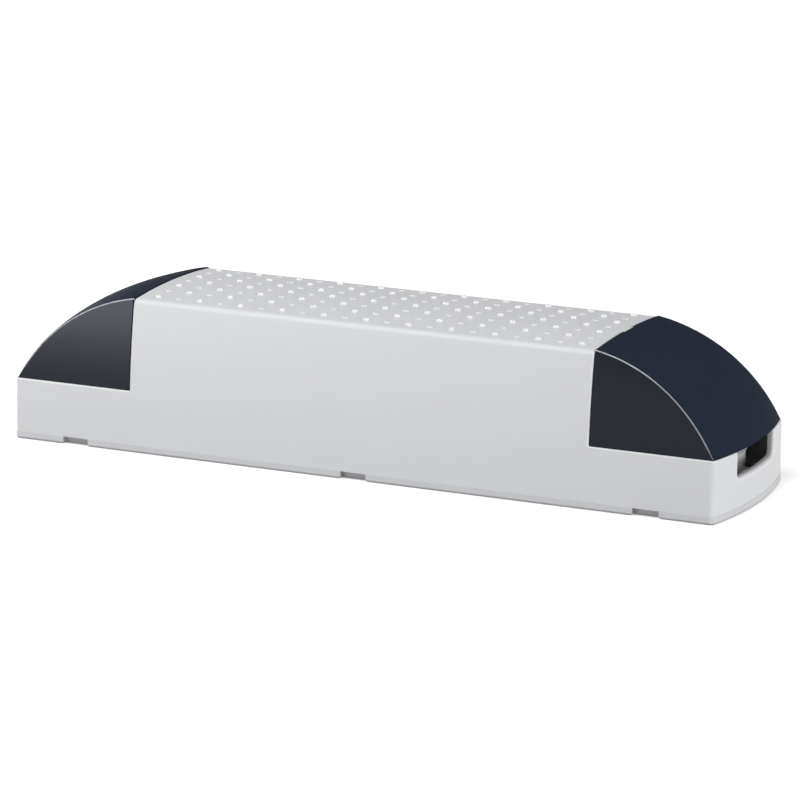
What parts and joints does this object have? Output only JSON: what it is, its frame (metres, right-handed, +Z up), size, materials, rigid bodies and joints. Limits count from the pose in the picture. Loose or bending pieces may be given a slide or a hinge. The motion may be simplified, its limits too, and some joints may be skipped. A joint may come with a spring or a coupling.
{
  "type": "electronic transformer",
  "caption": "Long light grey moulded converter enclosure with a bumped top, low band with cable windows and a dark rounded cap over each end.",
  "frame": {"origin": "middle of the underside", "axes": "+X along the body towards the output end, +Y across it, +Z up out of the bumped top"},
  "size_m": [0.2044, 0.0512, 0.0424],
  "materials": {
    "aluminium": "rolled sheet",
    "base_plastic": "fine satin moulding, light grey",
    "blue_coating": "dipped coating",
    "board": "solder mask over glass laminate",
    "bobbin_plastic": "moulded",
    "brass": "nickel-free brass",
    "cap_plastic": "satin moulding, dark blue-grey",
    "ceramic": "glazed ceramic",
    "clamp_plastic": "moulded, light grey",
    "copper": "enamelled copper wire",
    "epoxy": "moulded epoxy",
    "ferrite": "ground ferrite",
    "housing_plastic": "fine satin moulding, light grey",
    "insulation": "pressed insulating sheet",
    "pad": "filled silicone",
    "red_case": "moulded case",
    "resistor_lacquer": "lacquer",
    "steel": "zinc plated",
    "tape": "polyester film",
    "terminal_plastic": "moulded, ivory",
    "yellow_case": "moulded case"
  },
  "bodies": {
    "root": {"housing": "housing_plastic", "base_plate": "base_plastic", "mains_end_cap": "cap_plastic", "output_end_cap": "cap_plastic", "circuit_board": "board", "insulating_sheet": "insulation", "mains_terminal_body": "terminal_plastic", "mains_terminal_clamps": "brass", "mains_terminal_screws": "steel", "output_terminal_body": "terminal_plastic", "output_terminal_clamps": "brass", "output_terminal_screws": "steel", "mains_cable_clamp": "clamp_plastic", "mains_clamp_screws": "steel", "output_cable_clamp": "clamp_plastic", "output_clamp_screws": "steel", "fuse": "ceramic", "fuse_clips": "steel", "varistor": "blue_coating", "interference_capacitor": "yellow_case", "choke_core": "ferrite", "choke_windings": "copper", "bridge_rectifier": "epoxy", "bridge_capacitors": "red_case", "y_capacitor": "blue_coating", "heat_spreader": "aluminium", "switching_transistors": "epoxy", "transistor_pads": "pad", "transistor_screws": "steel", "drive_ring": "ferrite", "drive_windings": "copper", "resistors": "resistor_lacquer", "diodes": "epoxy", "core_half_mains": "ferrite", "core_half_output": "ferrite", "bobbin": "bobbin_plastic", "primary_winding": "copper", "secondary_winding": "copper", "core_tape": "tape", "thermal_cutout": "ceramic"}
  },
  "joints": []
}
